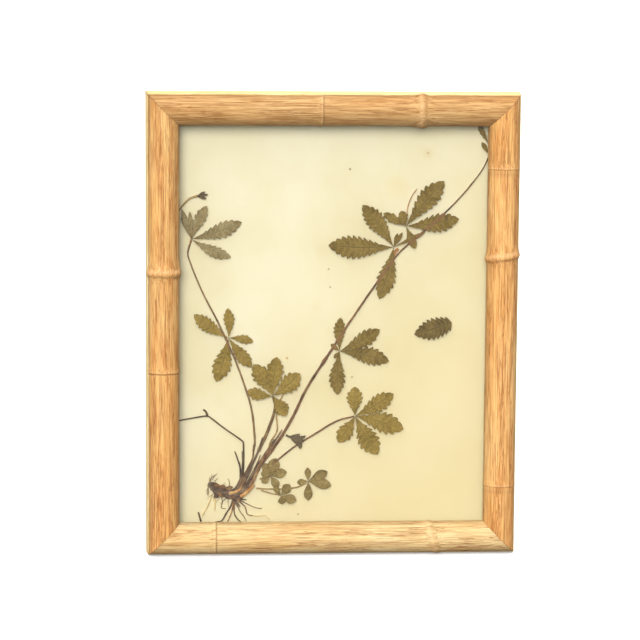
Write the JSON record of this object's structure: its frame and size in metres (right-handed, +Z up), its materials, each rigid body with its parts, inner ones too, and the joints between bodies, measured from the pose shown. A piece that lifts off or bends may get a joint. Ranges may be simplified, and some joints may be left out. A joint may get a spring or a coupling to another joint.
{
  "type": "pressed flower frame",
  "caption": "Pressed cinquefoil with roots, stems and toothed leaves on aged paper behind glass, in a mitred oak frame with half-round bamboo-style rails; hangs on a wall.",
  "frame": {"origin": "hanging point: middle of the hanger's toothed edge, on the plane of the frame's back", "axes": "+Z up the picture, +X to the right seen from the front, +Y into the wall; the picture faces -Y"},
  "size_m": [0.2314, 0.0284, 0.2884],
  "materials": {
    "oak": "satin, open pores",
    "glass": "clear, polished",
    "sheet": "matte, aged",
    "board": "matte hardboard",
    "zinc": "zinc plated",
    "brass": "brass plated, dull",
    "dried_root": "rough, dry",
    "dried_stem": "matte, dry",
    "dried_leaf": "matte, dry, veined",
    "dried_base_leaf": "matte, dry"
  },
  "bodies": {
    "root": {"rail_top": "oak", "rail_bottom": "oak", "rail_left": "oak", "rail_right": "oak", "glass": "glass", "paper": "sheet", "backing_board": "board", "point_top": "zinc", "point_bottom": "zinc", "point_left_upper": "zinc", "point_left_lower": "zinc", "point_right_upper": "zinc", "point_right_lower": "zinc", "hanger": "brass", "hanger_nail_left": "zinc", "hanger_nail_right": "zinc", "rhizome": "dried_root", "shrivelled_leaf": "dried_root", "main_stem": "dried_stem", "left_stem": "dried_stem", "runner": "dried_stem", "dry_spike": "dried_stem", "thin_stalk": "dried_stem", "flower_bud": "dried_stem", "loose_root": "dried_stem", "leaf_upper_left": "dried_leaf", "leaf_left": "dried_leaf", "leaf_centre": "dried_leaf", "leaf_stem_middle": "dried_leaf", "leaf_right": "dried_leaf", "leaf_top": "dried_leaf", "leaf_upper": "dried_leaf", "leaf_tip_upper": "dried_leaf", "leaf_tip_lower": "dried_leaf", "loose_leaflet": "dried_leaf", "leaf_base_upper": "dried_base_leaf", "leaf_base_lower": "dried_base_leaf", "leaf_base_right": "dried_base_leaf"}
  },
  "joints": []
}
